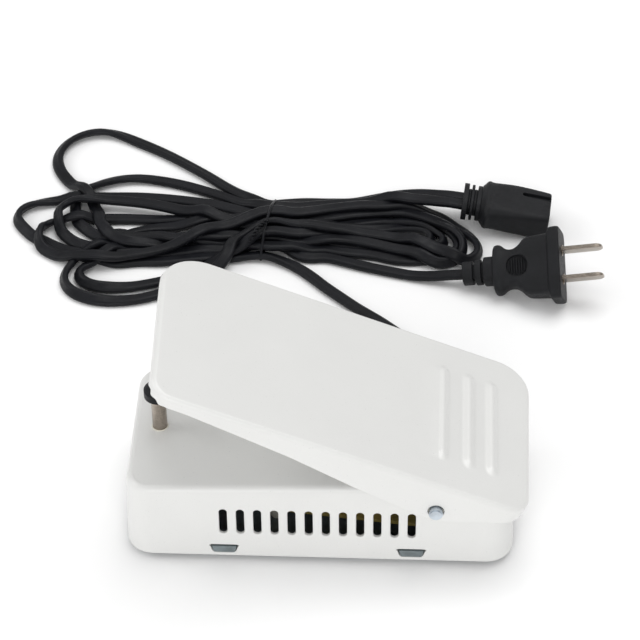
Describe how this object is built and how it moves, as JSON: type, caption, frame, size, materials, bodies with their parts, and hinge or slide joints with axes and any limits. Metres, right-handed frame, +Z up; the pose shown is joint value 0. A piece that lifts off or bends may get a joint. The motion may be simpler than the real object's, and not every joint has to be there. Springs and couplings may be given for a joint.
{
  "type": "sewing machine pedal",
  "caption": "Foot pedal for a sewing machine: vented steel housing, hinged treadle plate over a spring plunger, and a tied cord with plug and connector.",
  "frame": {"origin": "on the resting surface, under the middle of the pedal without its cord", "axes": "+X towards the hinge end, +Y towards the rear wall that the cord leaves, +Z up"},
  "size_m": [0.2645, 0.2752, 0.0937],
  "materials": {
    "white_paint": "satin white stove enamel",
    "zinc_plate": "blue-white zinc plating",
    "blued_steel": "dull steel, blued",
    "bright_steel": "bright spring steel",
    "nickel": "nickel plated, polished",
    "black_plastic": "moulded, fine matt",
    "dark_rubber": "matt",
    "nylon": "natural nylon",
    "phenolic": "resin paper board, semi-matt",
    "aluminium": "mill finish",
    "film_yellow": "epoxy coated",
    "ferrite": "dark ceramic",
    "copper_wire": "enamelled copper",
    "resistor_tan": "lacquered",
    "terminal_green": "moulded",
    "brass": "bright",
    "red_wire": "PVC insulation",
    "cord_pvc": "black PVC, semi-matt"
  },
  "bodies": {
    "base": {"housing": "white_paint", "bottom_plate": "blued_steel", "rubber_feet": "dark_rubber", "foot_screws": "zinc_plate", "pivot_pin": "zinc_plate", "pivot_spacers": "nylon", "pin_clips": "bright_steel", "pedal_spring": "bright_steel", "guide_bush": "nylon", "plunger_spring": "bright_steel", "spring_seat": "nylon", "slide_rheostat": "black_plastic", "rheostat_bracket": "zinc_plate", "circuit_board": "phenolic", "board_standoffs": "nylon", "board_screws": "zinc_plate", "triac": "black_plastic", "heat_sink": "aluminium", "capacitor": "film_yellow", "choke_core": "ferrite", "choke_winding": "copper_wire", "resistors": "resistor_tan", "terminal_block": "terminal_green", "terminal_screws": "brass", "rheostat_wires": "red_wire", "cord_tail": "cord_pvc", "cord_clamp": "zinc_plate", "bracket_screws": "zinc_plate", "cord_grommet": "dark_rubber", "pedal_cord": "cord_pvc", "plug_cord": "cord_pvc", "connector_cords": "cord_pvc", "cord_hank": "cord_pvc", "wire_tie": "cord_pvc", "connector_strain_relief": "black_plastic", "connector_body": "black_plastic", "connector_contacts": "brass", "plug_strain_relief": "black_plastic", "plug_body": "black_plastic", "plug_blades": "nickel"},
    "pedal": {"pedal_plate": "white_paint", "pedal_spring_leg": "bright_steel"},
    "plunger": {"plunger_rod": "nickel", "plunger_head": "black_plastic", "plunger_clip": "bright_steel", "rheostat_fork": "nylon"}
  },
  "joints": [
    {"name": "pedal_hinge", "type": "hinge", "parent": "base", "child": "pedal", "pos_m": [0.0418, 0, 0.0343], "axis": [0, -1, 0], "range_deg": [0, 23], "stiffness_Nm_per_rad": 0.3, "springref_deg": -68.75},
    {"name": "plunger_slide", "type": "slide", "parent": "base", "child": "plunger", "axis": [0, 0, -1], "range_m": [0, 0.0124], "stiffness_N_per_m": 300, "springref_m": -0.008, "deforming": ["plunger_spring"]}
  ],
  "couplings": [
    {"joint": "plunger_slide", "follows": "pedal_hinge", "m_per_rad": 0.0305}
  ]
}
